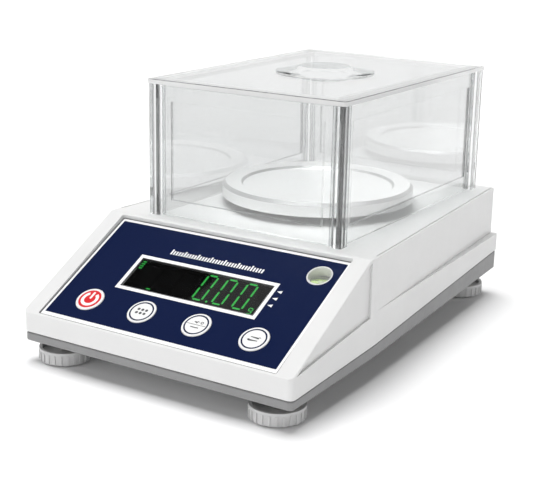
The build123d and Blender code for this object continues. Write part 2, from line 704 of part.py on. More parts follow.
# ---------------------------------------------------------------- levelling feet
# Rubber pad that stays still on the bench, with a pin up into the wheel.
PAD_TOP = 1.6
PAD_R = 13.5
PIN_TOP = 4.5
WHEEL_Z = 0.8
for place, (x, y) in FEET.items():
    with BuildPart() as foot_pad:
        with BuildSketch(Plane.XY):
            with Locations((x, y)):
                Circle(PAD_R)
        extrude(amount=PAD_TOP)
        with BuildSketch(Plane.XY.offset(PAD_TOP)):
            with Locations((x, y)):
                Circle(1.5)
        extrude(amount=PIN_TOP - PAD_TOP)
    save(foot_pad, f"foot_pad_{place}")

    with BuildPart() as foot_wheel:
        with BuildSketch(Plane.XY.offset(WHEEL_Z)):
            with Locations((x, y)):
                Circle(FOOT_R - 0.7)
        extrude(amount=FOOT_TOP - WHEEL_Z)
        chamfer(foot_wheel.faces().sort_by(Axis.Z)[0].edges(), 0.9)
        # Finger ribs below a plain rim.
        with BuildSketch(Plane.XY.offset(WHEEL_Z + 0.9)):
            with Locations((x, y)):
                with PolarLocations(FOOT_R - 1.0, RIBS):
                    Rectangle(2.0, 1.5)
        extrude(amount=FOOT_TOP - WHEEL_Z - 2.7)
        with BuildSketch(Plane.XY.offset(FOOT_TOP - 1.8)):
            with Locations((x, y)):
                Circle(FOOT_R - 0.2)
        extrude(amount=1.8)
        # Dished top and the seat for the pad.
        with BuildSketch(Plane.XY.offset(FOOT_TOP)):
            with Locations((x, y)):
                Circle(FOOT_R - 2.2)
        extrude(amount=-3.0, mode=Mode.SUBTRACT)
        with BuildSketch(Plane.XY.offset(WHEEL_Z)):
            with Locations((x, y)):
                Circle(PAD_R + 0.3)
        extrude(amount=PAD_TOP - WHEEL_Z + 0.1, mode=Mode.SUBTRACT)
        with BuildSketch(Plane.XY.offset(PAD_TOP)):
            with Locations((x, y)):
                Circle(1.5 + THREAD_GAP)
        extrude(amount=PIN_TOP - PAD_TOP + 0.1, mode=Mode.SUBTRACT)
    save(foot_wheel, f"foot_wheel_{place}")

    with BuildPart() as foot_stud:
        with BuildSketch(Plane.XY.offset(FOOT_TOP - 3.0)):
            with Locations((x, y)):
                Circle(STUD_R)
        extrude(amount=tray_z(y) + INSERT + 5.5 - FOOT_TOP)
        chamfer(foot_stud.faces().sort_by(Axis.Z)[-1].edges(), 0.6)
    save(foot_stud, f"foot_stud_{place}")

# Threaded brass inserts in the tray.
with BuildPart() as foot_inserts:
    for x, y in FEET.values():
        with BuildSketch(Plane.XY.offset(tray_z(y))):
            with Locations((x, y)):
                Circle(INSERT_R)
                Circle(STUD_R + THREAD_GAP, mode=Mode.SUBTRACT)
        extrude(amount=INSERT)
save(foot_inserts, "foot_inserts")

# ---------------------------------------------------------------- draught shield
POST_FOOT = DECK_Z + SHIELD_SEAT
POST_TOP = LID_TOP - LID_THICK - LID_SEAT
PANE_IN = 3.0  # how far a pane's outer face stands back from the face of the posts
SLOT_DEPTH = 2.0
shield_mid_y = (SHIELD_FRONT + SHIELD_REAR) / 2
post_x = SHIELD_HALF_W - POST / 2
pane_x = SHIELD_HALF_W - PANE_IN - PANE / 2
pane_front = SHIELD_FRONT + PANE_IN + PANE / 2
pane_rear = SHIELD_REAR - PANE_IN - PANE / 2
POSTS = {
    "front_left": (-post_x, SHIELD_FRONT + POST / 2, 1, 1),
    "front_right": (post_x, SHIELD_FRONT + POST / 2, -1, 1),
    "rear_left": (-post_x, SHIELD_REAR - POST / 2, 1, -1),
    "rear_right": (post_x, SHIELD_REAR - POST / 2, -1, -1),
}
for place, (x, y, inward_x, inward_y) in POSTS.items():
    with BuildPart() as shield_post:
        with BuildSketch(Plane.XY.offset(POST_FOOT)):
            with Locations((x, y)):
                RectangleRounded(POST, POST, 1.4)
            # Slots for the two panes that meet at this corner.
            with Locations((x + inward_x * (POST - SLOT_DEPTH) / 2, y)):
                Rectangle(SLOT_DEPTH, PANE + 2 * PANE_GAP, mode=Mode.SUBTRACT)
            with Locations((x, y + inward_y * (POST - SLOT_DEPTH) / 2)):
                Rectangle(PANE + 2 * PANE_GAP, SLOT_DEPTH, mode=Mode.SUBTRACT)
        extrude(amount=POST_TOP - POST_FOOT)
    save(shield_post, f"shield_post_{place}")

BORDER_END = 11.0
BORDER_SIDE = 7.0
BORDER_STEP = 0.8
pane_height = POST_TOP - POST_FOOT
pane_mid_z = (POST_TOP + POST_FOOT) / 2
span_x = 2 * (SHIELD_HALF_W - POST + SLOT_DEPTH - PANE_GAP)
span_y = SHIELD_REAR - SHIELD_FRONT - 2 * (POST - SLOT_DEPTH + PANE_GAP)


def shield_pane(plane, span):
    """A clear pane centred on plane, sunk a little on both faces inside a plain border."""
    with BuildPart() as pane:
        with BuildSketch(plane):
            Rectangle(span, pane_height)
        extrude(amount=PANE / 2, both=True)
        for face in (1, -1):
            with BuildSketch(plane.offset(face * PANE / 2)):
                Rectangle(span - 2 * SLOT_DEPTH - 2 * BORDER_SIDE, pane_height - 2 * BORDER_END)
            extrude(amount=-face * BORDER_STEP, mode=Mode.SUBTRACT)
    return pane


def upright_plane(x, y, normal):
    """An upright plane through x, y at half the height of the panes."""
    return Plane(origin=(x, y, pane_mid_z), x_dir=(-normal[1], normal[0], 0), z_dir=normal)


save(shield_pane(upright_plane(0, pane_front, (0, -1, 0)), span_x), "shield_pane_front")
save(shield_pane(upright_plane(0, pane_rear, (0, 1, 0)), span_x), "shield_pane_rear")
save(shield_pane(upright_plane(-pane_x, shield_mid_y, (-1, 0, 0)), span_y), "shield_pane_left")
save(shield_pane(upright_plane(pane_x, shield_mid_y, (1, 0, 0)), span_y), "shield_pane_right")

LID_W = 2 * SHIELD_HALF_W + 1.2
LID_D = SHIELD_REAR - SHIELD_FRONT + 1.2
RIB_IN = POST + 1.0  # the rib clears the inner corners of the posts
RIB = 2.0
rib_w = 2 * (SHIELD_HALF_W - RIB_IN)
rib_d = SHIELD_REAR - SHIELD_FRONT - 2 * RIB_IN
with BuildPart() as shield_lid:
    with BuildSketch(Plane.XY.offset(LID_TOP - LID_THICK)):
        with Locations((0, shield_mid_y)):
            RectangleRounded(LID_W, LID_D, 2.0)
    extrude(amount=LID_THICK)
    fillet(shield_lid.faces().sort_by(Axis.Z)[-1].edges(), 0.5)
    # Rib below that drops inside the panes and centres the lid.
    with BuildSketch(Plane.XY.offset(LID_TOP - LID_THICK)):
        with Locations((0, shield_mid_y)):
            Rectangle(rib_w, rib_d)
            Rectangle(rib_w - 2 * RIB, rib_d - 2 * RIB, mode=Mode.SUBTRACT)
    extrude(amount=-2.5)
save(shield_lid, "shield_lid")

# Low round grip cemented to the middle of the lid.
with BuildPart() as lid_knob:
    with BuildSketch(Plane.XZ.offset(-shield_mid_y)):
        with BuildLine():
            Polyline(
                (0, LID_TOP + CEMENT),
                (KNOB_R, LID_TOP + CEMENT),
                (KNOB_R, LID_TOP + 0.7),
                (KNOB_TOP_R + 3, LID_TOP + KNOB_HEIGHT - 1.2),
                (KNOB_TOP_R, LID_TOP + KNOB_HEIGHT),
                (0, LID_TOP + KNOB_HEIGHT),
                close=True,
            )
        make_face()
    revolve(axis=Axis((0, shield_mid_y, 0), (0, 0, 1)))
save(lid_knob, "lid_knob")

# ---------------------------------------------------------------- electronics in the tray
MAIN_X = 54.0
MAIN_Y = -32.0
MAIN_W = 74.0
MAIN_D = 90.0
STANDOFF = 5.0
MAIN_HOLES = [(MAIN_X + dx, MAIN_Y + dy) for dx in (-32, 32) for dy in (-40, 40)]
main_z = TRAY_FLOOR + STANDOFF

with BuildPart() as board_standoffs:
    with BuildSketch(Plane.XY.offset(TRAY_FLOOR)):
        with Locations(*MAIN_HOLES):
            RegularPolygon(3.0, 6)
            Circle(1.5, mode=Mode.SUBTRACT)
    extrude(amount=STANDOFF)
save(board_standoffs, "board_standoffs")

with BuildPart() as main_board:
    with BuildSketch(Plane.XY.offset(main_z)):
        with Locations((MAIN_X, MAIN_Y)):
            Rectangle(MAIN_W, MAIN_D)
        with Locations(*MAIN_HOLES):
            Circle(1.5, mode=Mode.SUBTRACT)
    extrude(amount=BOARD)
save(main_board, "main_board")

with BuildPart() as main_board_screws:
    with BuildSketch(Plane.XY.offset(TRAY_FLOOR + 1)):
        with Locations(*MAIN_HOLES):
            Circle(1.5 - FIT)
    extrude(amount=STANDOFF + BOARD - 1)
    with BuildSketch(Plane.XY.offset(main_z + BOARD)):
        with Locations(*MAIN_HOLES):
            Circle(2.8)
    extrude(amount=1.8)
save(main_board_screws, "main_board_screws")

# Converter can, processor, regulator and its heat sink, capacitors and plugs.
with BuildPart() as board_components:
    for x, y, w, d, h in (
        (40, -50, 26, 20, 6.0),
        (62, -30, 14, 14, 1.6),
        (40, -20, 12, 8, 1.4),
        (74, -52, 12, 16, 10.0),
        (54, 8, 20, 6, 7.0),
        (28, 0, 6, 14, 7.0),
        (80, -4, 6, 20, 7.0),
    ):
        with BuildSketch(Plane.XY.offset(main_z + BOARD)):
            with Locations((x, y)):
                Rectangle(w, d)
        extrude(amount=h)
    with BuildSketch(Plane.XY.offset(main_z + BOARD)):
        with Locations((60, -52), (60, -62), (80, -34), (80, -24)):
            Circle(4.0)
    extrude(amount=11)
save(board_components, "board_components")

# Flat cable from the main board up to the display board.
with BuildPart() as ribbon_cable:
    display_plug = PANEL.from_local_coords((54, 40, -BOARD_TOP - BOARD))
    with BuildSketch(Plane.YZ.offset(44)):
        with BuildLine():
            start = (5.0, main_z + BOARD + 7.0)
            FilletPolyline(
                start,
                (5.0, start[1] + 4.5),
                (display_plug.Y + 12, start[1] + 4.5),
                (display_plug.Y + 0.6, display_plug.Z - 1.2),
                radius=3.0,
            )
            offset(amount=0.4, side=Side.LEFT)
        make_face()
    extrude(amount=20)
save(ribbon_cable, "ribbon_cable")

# ---------------------------------------------------------------- sockets in the rear wall
inner_rear = HALF_D - WALL
with BuildPart() as dc_inlet:
    with BuildSketch(Plane.XZ.offset(-inner_rear)):
        with Locations((INLET_X, PORT_Z)):
            Rectangle(14, 11)
    extrude(amount=13)
    with BuildSketch(Plane.XZ.offset(-inner_rear)):
        with Locations((INLET_X, PORT_Z)):
            Circle(INLET_R - FIT)
    extrude(amount=-WALL + 0.3)
    with BuildSketch(Plane.XZ.offset(-HALF_D + 0.3)):
        with Locations((INLET_X, PORT_Z)):
            Circle(2.75)
            Circle(1.05, mode=Mode.SUBTRACT)
    extrude(amount=10, mode=Mode.SUBTRACT)
save(dc_inlet, "dc_inlet")

with BuildPart() as serial_port:
    with BuildSketch(Plane.XZ.offset(-inner_rear)):
        with Locations((SERIAL_X, PORT_Z)):
            Rectangle(SERIAL_W, SERIAL_H)
    extrude(amount=9)
    with BuildSketch(Plane.XZ.offset(-inner_rear)):
        with Locations((SERIAL_X, PORT_Z)):
            Rectangle(SERIAL_MOUTH_W - 0.6, SERIAL_MOUTH_H - 0.6)
            Rectangle(SERIAL_MOUTH_W - 2.0, SERIAL_MOUTH_H - 2.0, mode=Mode.SUBTRACT)
    extrude(amount=-WALL + 0.3)
    with BuildSketch(Plane.XZ.offset(-inner_rear)):
        with Locations((SERIAL_X, PORT_Z + 1.4)):
            with GridLocations(2.7, 0, 5, 1):
                Circle(0.5)
        with Locations((SERIAL_X, PORT_Z - 1.4)):
            with GridLocations(2.7, 0, 4, 1):
                Circle(0.5)
    extrude(amount=-WALL + 0.8)
save(serial_port, "serial_port")
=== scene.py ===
import json
import math

import bmesh
import bpy
from mathutils import Matrix, Vector


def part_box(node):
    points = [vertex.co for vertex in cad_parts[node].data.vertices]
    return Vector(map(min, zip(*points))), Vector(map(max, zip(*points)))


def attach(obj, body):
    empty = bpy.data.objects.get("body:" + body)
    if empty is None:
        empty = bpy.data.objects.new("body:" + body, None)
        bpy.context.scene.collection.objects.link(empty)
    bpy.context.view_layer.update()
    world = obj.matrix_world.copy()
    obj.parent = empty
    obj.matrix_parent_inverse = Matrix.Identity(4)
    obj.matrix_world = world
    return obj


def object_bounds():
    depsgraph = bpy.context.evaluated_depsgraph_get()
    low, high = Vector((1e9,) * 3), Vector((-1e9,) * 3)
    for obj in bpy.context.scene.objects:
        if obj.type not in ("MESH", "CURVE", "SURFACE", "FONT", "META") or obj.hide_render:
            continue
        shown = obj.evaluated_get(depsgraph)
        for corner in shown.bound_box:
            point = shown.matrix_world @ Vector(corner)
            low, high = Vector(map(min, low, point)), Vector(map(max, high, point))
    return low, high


MM = 0.001
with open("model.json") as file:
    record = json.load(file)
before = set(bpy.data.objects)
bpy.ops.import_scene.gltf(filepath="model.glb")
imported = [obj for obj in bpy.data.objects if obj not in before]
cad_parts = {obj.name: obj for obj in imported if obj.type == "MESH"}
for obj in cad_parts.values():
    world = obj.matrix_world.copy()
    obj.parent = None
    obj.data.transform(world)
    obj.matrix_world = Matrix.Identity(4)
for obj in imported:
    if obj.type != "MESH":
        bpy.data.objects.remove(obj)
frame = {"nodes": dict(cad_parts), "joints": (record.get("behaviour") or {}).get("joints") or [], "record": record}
cad_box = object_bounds()
nodes = frame["nodes"]
record = frame["record"]
joints = {j["name"]: j for j in frame["joints"]}
scene = bpy.context.scene


# ---------------------------------------------------------------- materials
class Surface:
    """A Principled material in object coordinates, with procedural detail added step by step."""

    def __init__(self, name, color, roughness, **sockets):
        self.material = bpy.data.materials.new(name)
        self.material.use_nodes = True
        self.tree = self.material.node_tree
        self.shader = self.tree.nodes["Principled BSDF"]
        self.output = self.tree.nodes["Material Output"]
        self.color = color
        self.set(self.shader, "Base Color", (*color, 1))
        self.set(self.shader, "Roughness", roughness)
        for socket, value in sockets.items():
            self.set(self.shader, socket.replace("_", " "), value)
        self.place = self.add("ShaderNodeTexCoord").outputs["Object"]
        self.normal = None

    def add(self, kind, **settings):
        node = self.tree.nodes.new(kind)
        for key, value in settings.items():
            setattr(node, key, value)
        return node

    def set(self, node, socket, value):
        """Links value to a socket if it is an output, and otherwise stores it there."""
        if isinstance(value, bpy.types.NodeSocket):
            self.tree.links.new(value, node.inputs[socket])
        else:
            node.inputs[socket].default_value = value

    def math(self, operation, *values):
        node = self.add("ShaderNodeMath", operation=operation)
        for i, value in enumerate(values):
            self.set(node, i, value)
        return node.outputs[0]

    def noise(self, size, detail=2.0, stretch=(1, 1, 1)):
        """Cloudy noise with features about size metres across, from 0 to 1."""
        mapping = self.add("ShaderNodeMapping")
        self.set(mapping, "Vector", self.place)
        self.set(mapping, "Scale", stretch)
        node = self.add("ShaderNodeTexNoise")
        self.set(node, "Vector", mapping.outputs[0])
        self.set(node, "Scale", 1 / size)
        self.set(node, "Detail", detail)
        return node.outputs["Fac"]

    def spread(self, source, low, high):
        """Maps a noise from its usual span to low..high."""
        node = self.add("ShaderNodeMapRange")
        for socket, value in (
            ("Value", source),
            ("From Min", 0.3),
            ("From Max", 0.7),
            ("To Min", low),
            ("To Max", high),
        ):
            self.set(node, socket, value)
        return node.outputs[0]

    def tint(self, factor, other):
        """Mixes the base colour towards another by factor."""
        node = self.add("ShaderNodeMix", data_type="RGBA")
        self.set(node, 0, factor)
        self.set(node, 6, (*self.color, 1))
        self.set(node, 7, (*other, 1))
        self.set(self.shader, "Base Color", node.outputs[2])

    def rough(self, source, low, high):
        self.set(self.shader, "Roughness", self.spread(source, low, high))

    def bump(self, height, depth, strength=1.0):
        node = self.add("ShaderNodeBump")
        self.set(node, "Height", height)
        self.set(node, "Distance", depth)
        self.set(node, "Strength", strength)
        if self.normal:
            self.set(node, "Normal", self.normal)
        self.normal = node.outputs[0]
        self.set(self.shader, "Normal", self.normal)

    def clear_shadow(self, color):
        """Lets lamplight through a clear piece without caustics."""
        rays = self.add("ShaderNodeLightPath")
        passing = self.add("ShaderNodeBsdfTransparent")
        self.set(passing, "Color", (*color, 1))
        mix = self.add("ShaderNodeMixShader")
        self.set(mix, 0, rays.outputs["Is Shadow Ray"])
        self.set(mix, 1, self.shader.outputs[0])
        self.set(mix, 2, passing.outputs[0])
        self.set(self.output, "Surface", mix.outputs[0])


def scaled(color, factor):
    return tuple(min(1.0, c * factor) for c in color)


def moulded(name, color, roughness, grain=0.5 * MM, depth=0.012 * MM, mottle=0.03, **sockets):
    """Injection-moulded plastic with a spark-eroded grain and slight mottling."""
    s = Surface(name, color, roughness, **sockets)
    s.tint(s.spread(s.noise(30 * MM, 3), 0, 1), scaled(color, 1 - mottle))
    s.rough(s.noise(4 * MM, 4), roughness - 0.05, roughness + 0.06)
    s.bump(s.noise(grain, 2), depth)
    s.bump(s.noise(12 * MM, 1), 0.01 * MM)
    return s.material


def printed(name, color, roughness, **sockets):
    """Screen-printed film or lacquer with a very fine tooth."""
    s = Surface(name, color, roughness, **sockets)
    s.tint(s.spread(s.noise(0.4 * MM, 2), 0, 1), scaled(color, 1.18))
    s.rough(s.noise(1.5 * MM, 3), roughness - 0.04, roughness + 0.05)
    s.bump(s.noise(0.3 * MM, 1), 0.004 * MM)
    return s.material


def clear(name, color, roughness, shadow, faces=None, sawn=0.0, edge=(0.93, 0.93, 0.93), **sockets):
    """Polished clear plastic, which tints lamplight by the shadow colour.

    faces names the axis that its polished faces lie across, or "corner" for all but the rounded
    corners. The other faces take the edge colour, and sawn is how milky they are.
    """
    s = Surface(name, color, roughness, Transmission_Weight=1.0, **sockets)
    if faces:
        split = s.add("ShaderNodeSeparateXYZ")
        s.set(split, 0, s.add("ShaderNodeTexCoord").outputs["Normal"])
        if faces == "corner":
            # X times Y is 0 on a flat side and 0.5 halfway round a corner.
            both = s.math("MULTIPLY", split.outputs["X"], split.outputs["Y"])
            side = s.math("GREATER_THAN", s.math("ABSOLUTE", both), 0.33)
        else:
            side = s.math("LESS_THAN", s.math("ABSOLUTE", split.outputs[faces]), 0.5)
        # Painted shade where the edge colour is dark, as on the posts' corners and the panes' step; a pale edge
        # colour, as on the lid, is the frost of sawn faces.
        s.tint(side, edge)
        s.set(s.shader, "Transmission Weight", s.math("MULTIPLY_ADD", side, -sawn, 1.0))
    s.rough(s.noise(9 * MM, 4, (1, 1, 3)), roughness, roughness + 0.03)
    s.bump(s.noise(60 * MM, 1), 0.02 * MM)
    s.clear_shadow(shadow)
    return s.material


def metal(name, color, roughness, size=0.2 * MM, stretch=(1, 1, 30), depth=0.004 * MM):
    """Drawn or machined metal with fine directional marks."""
    s = Surface(name, color, roughness, Metallic=1.0)
    marks = s.noise(size, 3, stretch)
    s.tint(s.spread(marks, 0, 1), scaled(color, 0.86))
    s.rough(marks, roughness - 0.06, roughness + 0.08)
    s.bump(marks, depth)
    return s.material


def spun_steel(name, color, roughness, centre):
    """Steel spun on a lathe about an upright axis through centre, with painted shade on its slanting faces."""
    s = Surface(name, color, roughness, Metallic=0.6, Anisotropic=0.35)
    offset = s.add("ShaderNodeVectorMath", operation="SUBTRACT")
    s.set(offset, 0, s.place)
    s.set(offset, 1, centre)
    flat = s.add("ShaderNodeVectorMath", operation="MULTIPLY")
    s.set(flat, 0, offset.outputs[0])
    s.set(flat, 1, (1, 1, 0))
    length = s.add("ShaderNodeVectorMath", operation="LENGTH")
    s.set(length, 0, flat.outputs[0])
    noise = s.add("ShaderNodeTexNoise", noise_dimensions="1D")
    s.set(noise, "W", length.outputs["Value"])
    s.set(noise, "Scale", 1 / (0.35 * MM))
    s.set(noise, "Detail", 4.0)
    rings = noise.outputs["Fac"]
    # Slanting faces are those whose normal is neither near upright nor near level; they are painted darker as
    # shade.
    facing = s.add("ShaderNodeSeparateXYZ")
    s.set(facing, 0, s.add("ShaderNodeTexCoord").outputs["Normal"])
    off_slant = s.math("ABSOLUTE", s.math("SUBTRACT", facing.outputs["Z"], 0.7))
    painted_shade_slant = s.math("LESS_THAN", off_slant, 0.22)
    # Painted shade darkens the slanting faces of the rim and the step, and the lathe rings vary the tone a little.
    s.tint(s.math("MULTIPLY_ADD", painted_shade_slant, 0.75, s.math("MULTIPLY", rings, 0.15)), scaled(color, 0.5))
    s.rough(rings, roughness - 0.05, roughness + 0.07)
    s.bump(rings, 0.006 * MM)
    s.bump(s.noise(25 * MM, 2), 0.03 * MM)
    tangent = s.add("ShaderNodeTangent", direction_type="RADIAL", axis="Z")
    s.set(s.shader, "Tangent", tangent.outputs[0])
    return s.material


def lit(name, color, strength):
    """A lit display element, slightly uneven across each bar."""
    s = Surface(name, scaled(color, 0.2), 0.5)
    s.set(s.shader, "Emission Color", (*color, 1))
    s.set(s.shader, "Emission Strength", s.spread(s.noise(2.5 * MM, 1), strength * 0.9, strength * 1.1))
    return s.material


def threaded(name, color, roughness, pitch):
    """Plated steel with ridges every pitch metres up the Z axis."""
    s = Surface(name, color, roughness, Metallic=1.0)
    wave = s.add("ShaderNodeTexWave", bands_direction="Z", wave_profile="TRI")
    s.set(wave, "Vector", s.place)
    s.set(wave, "Scale", 1 / (2 * pitch))
    s.bump(wave.outputs["Fac"], 0.4 * MM)
    s.rough(s.noise(1 * MM, 2), roughness - 0.05, roughness + 0.1)
    return s.material


def board(name, color, roughness):
    """Solder mask over copper tracks."""
    s = Surface(name, color, roughness)
    tracks = s.add("ShaderNodeTexBrick")
    s.set(tracks, "Vector", s.place)
    s.set(tracks, "Scale", 1 / (12 * MM))
    s.set(tracks, "Mortar Size", 0.06)
    s.tint(tracks.outputs["Fac"], scaled(color, 1.8))
    s.bump(tracks.outputs["Fac"], 0.03 * MM)
    s.rough(s.noise(2 * MM, 2), roughness - 0.05, roughness + 0.08)
    return s.material


MATERIALS = {}


def material(slot, make, *values, **sockets):
    """Makes the material of one slot, with make's values after the name."""
    MATERIALS[slot] = make(slot, *values, **sockets)


# Case, feet and keys.
material("white_abs", moulded, (0.73, 0.73, 0.727), 0.42)
material("grey_abs", moulded, (0.262, 0.262, 0.264), 0.5, 0.6 * MM, 0.03 * MM, 0.08)
material("foot_plastic", moulded, (0.54, 0.54, 0.54), 0.45)
material("foot_rubber", moulded, (0.018, 0.018, 0.018), 0.75, 0.4 * MM, 0.03 * MM, 0.2)
material("key_white", moulded, (0.83, 0.83, 0.825), 0.3)
material("socket_black", moulded, (0.02, 0.02, 0.02), 0.45)

# Printed panel and display.
material("navy_film", printed, (0.0045, 0.0098, 0.043), 0.45, Specular_IOR_Level=0.1)
material("bezel_white", printed, (0.82, 0.82, 0.82), 0.38)
material("key_red", printed, (0.60, 0.020, 0.025), 0.36)
material("print_grey", printed, (0.07, 0.07, 0.075), 0.4)
material("smoked_window", clear, (0.22, 0.22, 0.225), 0.02, (0.1, 0.1, 0.1))
material("display_black", moulded, (0.003, 0.003, 0.003), 0.6)
material("digit_green", lit, (0.045, 0.52, 0.085), 4.2)

# Bubble level.
material("vial_clear", printed, (0.80, 0.85, 0.78), 0.1, Alpha=0.15)
material("vial_fluid", printed, (0.68, 0.86, 0.38), 0.2)
material("vial_bubble", printed, (0.80, 0.88, 0.66), 0.1)

# Pan and what carries it.
pan_low, pan_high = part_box("weighing_pan")
material("pan_steel", spun_steel, (0.985, 0.985, 0.98), 0.34, (pan_low + pan_high) / 2)
material("carrier_plastic", moulded, (0.014, 0.014, 0.015), 0.5)
material("cell_aluminium", metal, (0.70, 0.70, 0.71), 0.38, 0.3 * MM, (12, 1, 12))

# Fasteners and electronics.
material("zinc_steel", threaded, (0.60, 0.60, 0.58), 0.35, 1 * MM)
material("brass", metal, (0.72, 0.50, 0.20), 0.3)
material("circuit_board", board, (0.01, 0.09, 0.03), 0.4)
material("chip_black", moulded, (0.02, 0.02, 0.02), 0.55, 0.3 * MM)
material("cable_grey", moulded, (0.18, 0.18, 0.19), 0.5)

# Draught shield: the posts take the slot's own material, and the flat pieces one each.
# The posts' rounded corners are painted dark: painted shade standing in for the dark lines of light bent through
# them.
POST_PAINTED_SHADE = (0.26, 0.26, 0.26)
material(
    "clear_acrylic", clear, (0.86, 0.87, 0.87), 0.01, (0.9, 0.91, 0.91), "corner", 0.0, POST_PAINTED_SHADE, IOR=1.45
)


def pane(name, faces, tone, gloss):
    """Clear pane, the step round its middle painted dark as a line of shade."""
    color = (tone, tone * 1.01, tone * 1.01)
    shadow = (0.88, 0.89, 0.89)
    edge = (0.3, 0.3, 0.3)
    coat = {"Coat_Weight": 1.0, "Coat_IOR": gloss}
    return clear(name, color, 0.01, shadow, faces, 0.1, edge, IOR=1.49, **coat)


# The panes get a darker tint than the lid and posts, darkest at the sides and rear: painted shade, one acrylic
# toned for how light falls through each piece.
SIDE_PANE = pane("pane_side", "X", 0.75, 1.6)
SHIELD = {
    "shield_lid": clear("lid_acrylic", (0.87, 0.88, 0.88), 0.01, (0.86, 0.87, 0.87), "Z", 0.7, IOR=1.33),
    "lid_knob": clear("knob_acrylic", (0.88, 0.89, 0.89), 0.01, (0.93, 0.94, 0.94), IOR=1.03),
    "shield_pane_front": pane("pane_front", "Y", 0.8, 1.6),
    "shield_pane_rear": pane("pane_rear", "Y", 0.74, 2.3),
    "shield_pane_left": SIDE_PANE,
    "shield_pane_right": SIDE_PANE,
}
for row in record["subparts"]:
    node = nodes[row["node"]]
    node.data.materials.clear()
    node.data.materials.append(SHIELD.get(row["node"], MATERIALS[row["material_slot"]]))

# ---------------------------------------------------------------- the key panel's plane
# Panel coordinates: x to the right, s up the slope, h out of it, from the film's lower edge.
OUT = -Vector(joints["power_key_press"]["axis"]).normalized()
UP = OUT.cross(Vector((1, 0, 0)))
film_points = [v.co for v in nodes["panel_overlay"].data.vertices]
FILM_TOP = max(p.dot(OUT) for p in film_points)
FILM_FOOT = min(p.dot(UP) for p in film_points)
PANEL = Matrix.Identity(4)
PANEL.col[1] = (*UP, 0)
PANEL.col[2] = (*OUT, 0)
PANEL.col[3] = (*(UP * FILM_FOOT + OUT * FILM_TOP), 1)


def on_panel(name):
    """A node's lowest and highest x, s and h, in panel coordinates."""
    inverse = PANEL.inverted()
    points = [inverse @ v.co for v in nodes[name].data.vertices]
    return [(min(p[i] for p in points), max(p[i] for p in points)) for i in range(3)]


def sweep(x, s, r, start, end, steps):
    """Points round x, s at radius r, from one angle to another in degrees."""
    angles = [math.radians(start + (end - start) * i / steps) for i in range(steps + 1)]
    return [(x + r * math.cos(a), s + r * math.sin(a)) for a in angles]


def circle(x, s, r, steps=72):
    return sweep(x, s, r, 0, 360, steps)[:-1]


def arc(x, s, r_in, r_out, start, end):
    """A band of a ring between two angles in degrees."""
    return sweep(x, s, r_out, start, end, 48) + sweep(x, s, r_in, end, start, 48)


def box(x0, s0, x1, s1, r=0.0):
    """A rectangle with corners rounded to r."""
    if not r:
        return [(x0, s0), (x1, s0), (x1, s1), (x0, s1)]
    return (
        sweep(x1 - r, s0 + r, r, -90, 0, 6)
        + sweep(x1 - r, s1 - r, r, 0, 90, 6)
        + sweep(x0 + r, s1 - r, r, 90, 180, 6)
        + sweep(x0 + r, s0 + r, r, 180, 270, 6)
    )


def line(x, s, length, thick):
    """A level line whose middle is at x, s."""
    return box(x - length / 2, s - thick / 2, x + length / 2, s + thick / 2)


def pointer(x, s, length, width):
    """A triangle with its point at x, s, opening along x by length, which may be negative."""
    return [(x, s), (x + length, s - width / 2), (x + length, s + width / 2)]


def slab(name, outlines, h, thickness, slot, body):
    """Flat shapes on the panel, outlines in panel coordinates, inner ones cutting holes; h is their top."""
    curve = bpy.data.curves.new(name, "CURVE")
    curve.dimensions = "2D"
    curve.fill_mode = "BOTH"
    curve.extrude = thickness / 2
    for outline in outlines:
        spline = curve.splines.new("POLY")
        spline.points.add(len(outline) - 1)
        spline.use_cyclic_u = True
        for point, (x, s) in zip(spline.points, outline):
            point.co = (x, s, 0, 1)
    drawn = bpy.data.objects.new(name, curve)
    mesh = bpy.data.meshes.new_from_object(drawn)
    bpy.data.objects.remove(drawn)
    work = bmesh.new()
    work.from_mesh(mesh)
    bmesh.ops.remove_doubles(work, verts=work.verts, dist=1e-6)
    bmesh.ops.recalc_face_normals(work, faces=work.faces)
    work.to_mesh(mesh)
    work.free()
    mesh.transform(PANEL @ Matrix.Translation((0, 0, h - thickness / 2)))
    mesh.name = name
    piece = bpy.data.objects.new(name, mesh)
    scene.collection.objects.link(piece)
    mesh.materials.append(MATERIALS[slot])
    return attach(piece, body)


PRINT = 0.04 * MM  # how far a print stands out of what it is printed on
PRINT_THICK = 0.08 * MM

# White margin of the printed film, and a painted shadow line round it where the film sits in its recess.
(film_x0, film_x1), (film_s0, film_s1), _ = on_panel("panel_overlay")
PAINTED_SHADOW_WIDTH = 0.5 * MM
MARGIN_SIDE = 2.1 * MM
MARGIN_FOOT = 3.2 * MM
MARGIN_TOP = 2.6 * MM


def film_frame(side, foot, top, r):
    """The film's outline drawn in by three distances, with corners rounded to r."""
    return box(film_x0 + side, foot, film_x1 - side, film_s1 - film_s0 - top, r)


film_edge = film_frame(0, 0, 0, 0.8 * MM)
margin_out = film_frame(PAINTED_SHADOW_WIDTH, PAINTED_SHADOW_WIDTH, PAINTED_SHADOW_WIDTH, 0.6 * MM)
margin_in = film_frame(MARGIN_SIDE, MARGIN_FOOT, MARGIN_TOP, 0.6 * MM)
slab("panel_margin", [margin_out, margin_in], PRINT, PRINT_THICK, "bezel_white", "base")
# A painted shadow: a dark line where the film meets the edge of its recess.
slab("panel_painted_shadow", [film_edge, margin_out], PRINT, PRINT_THICK, "print_grey", "base")

